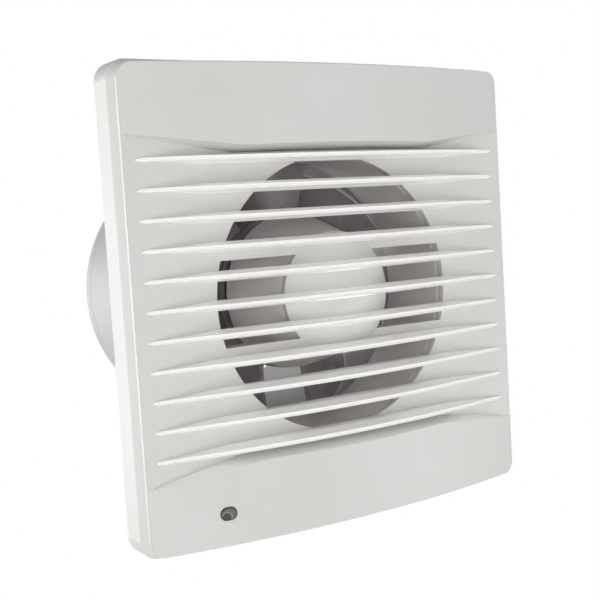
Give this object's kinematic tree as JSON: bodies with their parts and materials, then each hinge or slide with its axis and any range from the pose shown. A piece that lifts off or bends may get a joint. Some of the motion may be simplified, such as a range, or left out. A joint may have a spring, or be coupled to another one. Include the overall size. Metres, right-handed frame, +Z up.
{
  "type": "exhaust fan",
  "caption": "Square wall mounted axial exhaust fan with a bowed slatted cover, central dome, indicator window, motor pod, bladed impeller and round duct spigot.",
  "frame": {"origin": "on the duct axis in the wall plane, at the back face of the flange", "axes": "+Y into the wall along the duct, +Z up, cover towards -Y"},
  "size_m": [0.15, 0.1098, 0.15],
  "materials": {
    "cover_plastic": "satin",
    "housing_plastic": "satin",
    "carrier_plastic": "satin",
    "impeller_plastic": "satin",
    "smoked_lens": "gloss",
    "lamp_glass": "gloss",
    "terminal_plastic": "satin",
    "lead_sleeve": "satin",
    "bobbin_plastic": "satin",
    "winding_copper": "enamelled",
    "shade_copper": "bare",
    "bush_bronze": "sintered",
    "core_steel": "laminated",
    "shaft_steel": "ground",
    "screw_steel": "zinc plated",
    "bracket_aluminium": "die cast",
    "cage_aluminium": "cast",
    "grommet_rubber": "matte"
  },
  "bodies": {
    "housing_body": {"housing": "housing_plastic", "terminal_panel": "housing_plastic", "duct_tube": "housing_plastic", "inlet_sleeve": "carrier_plastic", "inlet_lip": "carrier_plastic", "motor_carrier": "carrier_plastic", "carrier_screws": "screw_steel", "cable_grommet": "grommet_rubber", "cable_clamp": "terminal_plastic", "clamp_screws": "screw_steel", "terminal_block": "terminal_plastic", "terminal_screws": "screw_steel", "lamp_holder": "terminal_plastic", "indicator_lamp": "lamp_glass", "lamp_leads": "lead_sleeve", "motor_leads": "lead_sleeve", "stator_core": "core_steel", "coil_bobbins": "bobbin_plastic", "stator_windings": "winding_copper", "shading_rings": "shade_copper", "front_bearing_bracket": "bracket_aluminium", "rear_bearing_bracket": "bracket_aluminium", "front_bearing": "bush_bronze", "rear_bearing": "bush_bronze", "motor_screws": "screw_steel"},
    "cover_body": {"front_grille": "cover_plastic", "indicator_lens": "smoked_lens"},
    "impeller_body": {"motor_shaft": "shaft_steel", "rotor_core": "core_steel", "rotor_end_rings": "cage_aluminium", "thrust_washers": "screw_steel", "impeller": "impeller_plastic", "impeller_nut": "screw_steel"}
  },
  "joints": [
    {"name": "impeller_spin", "type": "hinge", "parent": "housing_body", "child": "impeller_body", "pos_m": [0, 0.03, 0], "axis": [0, 1, 0], "continuous": true},
    {"name": "cover_pull", "type": "slide", "parent": "housing_body", "child": "cover_body", "axis": [0, -1, 0], "range_m": [0, 0.045]}
  ]
}
